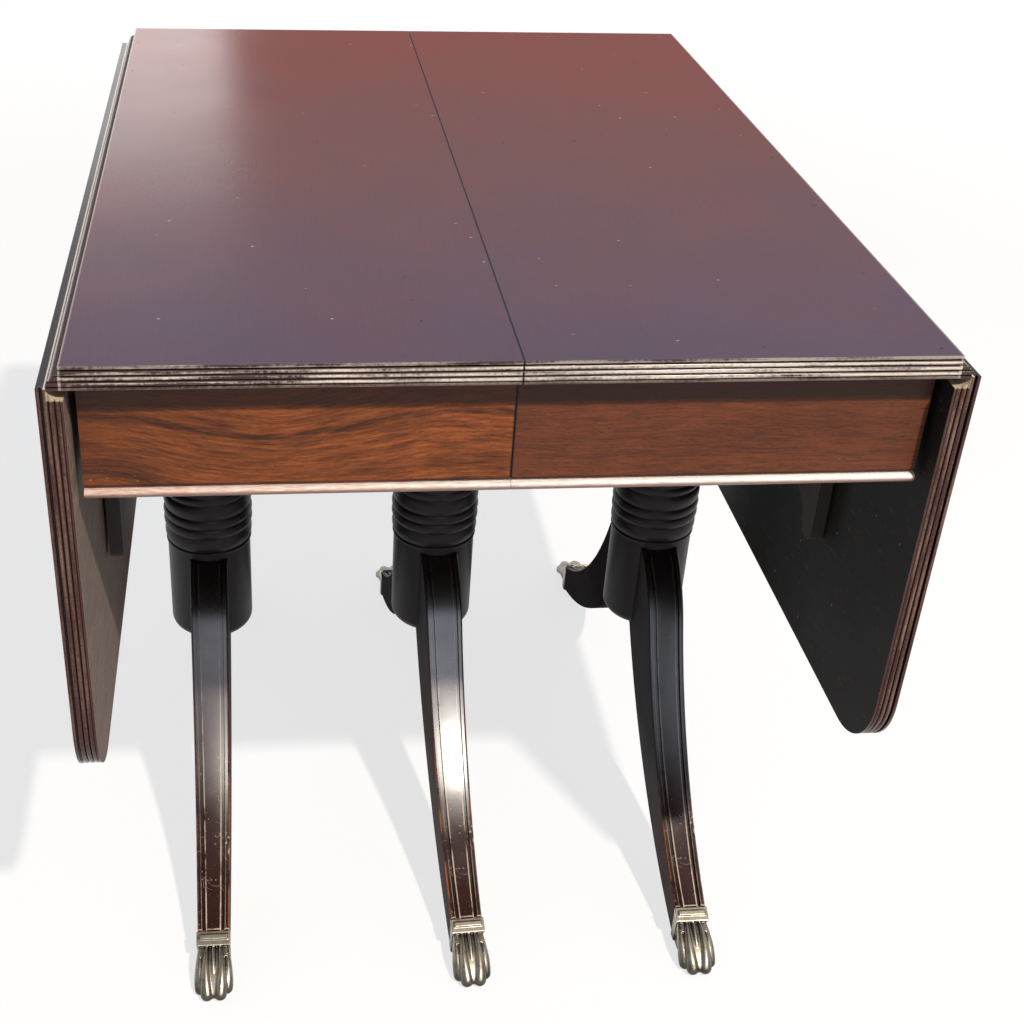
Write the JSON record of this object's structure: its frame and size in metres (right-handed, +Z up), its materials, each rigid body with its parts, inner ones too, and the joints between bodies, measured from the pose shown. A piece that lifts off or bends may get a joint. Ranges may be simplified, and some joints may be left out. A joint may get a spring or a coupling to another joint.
{
  "type": "drop-leaf extension dining table",
  "caption": "Drop-leaf extension dining table on turned pedestals with grooved sabre legs and brass paw feet; leaves hang on rule joints and the top draws apart at a seam.",
  "frame": {"origin": "on the floor under the middle of the closed table with its leaves down", "axes": "+X to the right along the extension, +Y from the front apron to the back one, +Z up"},
  "size_m": [0.694, 0.914, 0.75],
  "materials": {
    "top_wood": "satin polished red mahogany",
    "apron_wood": "polished figured veneer",
    "bead_wood": "worn polish",
    "pedestal_wood": "dark polish",
    "frame_wood": "unpolished timber",
    "stay_wood": "dark stained",
    "paw_brass": "aged cast brass",
    "hinge_steel": "dull steel",
    "lock_brass": "plain brass"
  },
  "bodies": {
    "centre": {"centre_bearer": "frame_wood", "centre_column": "pedestal_wood", "centre_leg_back": "pedestal_wood", "centre_leg_front": "pedestal_wood", "centre_paw_back": "paw_brass", "centre_paw_front": "paw_brass", "centre_runner_back": "frame_wood", "centre_runner_front": "frame_wood"},
    "left_half": {"left_apron_back": "apron_wood", "left_apron_front": "apron_wood", "left_bead_back": "bead_wood", "left_bead_front": "bead_wood", "left_bearer": "frame_wood", "left_column": "pedestal_wood", "left_corner_blocks": "frame_wood", "left_hinge_pins": "hinge_steel", "left_hinge_top_wings": "hinge_steel", "left_leg_back": "pedestal_wood", "left_leg_front": "pedestal_wood", "left_paw_back": "paw_brass", "left_paw_front": "paw_brass", "left_runner_back": "frame_wood", "left_runner_front": "frame_wood", "left_side_rail": "frame_wood", "left_stay_ears": "hinge_steel", "left_stay_pins": "hinge_steel", "left_top": "top_wood", "lock_bases": "lock_brass", "seam_dowels": "frame_wood"},
    "right_half": {"lock_keepers": "lock_brass", "right_apron_back": "apron_wood", "right_apron_front": "apron_wood", "right_bead_back": "bead_wood", "right_bead_front": "bead_wood", "right_bearer": "frame_wood", "right_column": "pedestal_wood", "right_corner_blocks": "frame_wood", "right_hinge_pins": "hinge_steel", "right_hinge_top_wings": "hinge_steel", "right_leg_back": "pedestal_wood", "right_leg_front": "pedestal_wood", "right_paw_back": "paw_brass", "right_paw_front": "paw_brass", "right_runner_back": "frame_wood", "right_runner_front": "frame_wood", "right_side_rail": "frame_wood", "right_stay_ears": "hinge_steel", "right_stay_pins": "hinge_steel", "right_top": "top_wood"},
    "left_leaf": {"left_hinge_leaf_wings": "hinge_steel", "left_leaf": "top_wood"},
    "right_leaf": {"right_hinge_leaf_wings": "hinge_steel", "right_leaf": "top_wood"},
    "left_stays": {"left_stay_back": "stay_wood", "left_stay_front": "stay_wood"},
    "right_stays": {"right_stay_back": "stay_wood", "right_stay_front": "stay_wood"},
    "front_lock_lever": {"lock_lever_front": "lock_brass"},
    "back_lock_lever": {"lock_lever_back": "lock_brass"}
  },
  "joints": [
    {"name": "left_half_slide", "type": "slide", "parent": "centre", "child": "left_half", "axis": [-1, 0, 0], "range_m": [0, 0.3]},
    {"name": "right_half_slide", "type": "slide", "parent": "centre", "child": "right_half", "axis": [1, 0, 0], "range_m": [0, 0.3]},
    {"name": "left_leaf_hinge", "type": "hinge", "parent": "left_half", "child": "left_leaf", "pos_m": [-0.33, 0, 0.733], "axis": [0, 1, 0], "range_deg": [0, 90]},
    {"name": "right_leaf_hinge", "type": "hinge", "parent": "right_half", "child": "right_leaf", "pos_m": [0.33, 0, 0.733], "axis": [0, -1, 0], "range_deg": [0, 90]},
    {"name": "left_stays_swing", "type": "hinge", "parent": "left_half", "child": "left_stays", "pos_m": [-0.319, 0, 0.675], "axis": [0, 1, 0], "range_deg": [0, 105]},
    {"name": "right_stays_swing", "type": "hinge", "parent": "right_half", "child": "right_stays", "pos_m": [0.319, 0, 0.675], "axis": [0, -1, 0], "range_deg": [0, 105]},
    {"name": "front_lock_turn", "type": "hinge", "parent": "left_half", "child": "front_lock_lever", "pos_m": [-0.018, -0.3, 0.727], "axis": [0, 0, 1], "range_deg": [0, 90]},
    {"name": "back_lock_turn", "type": "hinge", "parent": "left_half", "child": "back_lock_lever", "pos_m": [-0.018, 0.3, 0.727], "axis": [0, 0, -1], "range_deg": [0, 90]}
  ],
  "couplings": [
    {"joint": "left_stays_swing", "follows": "left_leaf_hinge", "ratio": 1.158},
    {"joint": "right_stays_swing", "follows": "right_leaf_hinge", "ratio": 1.158}
  ]
}
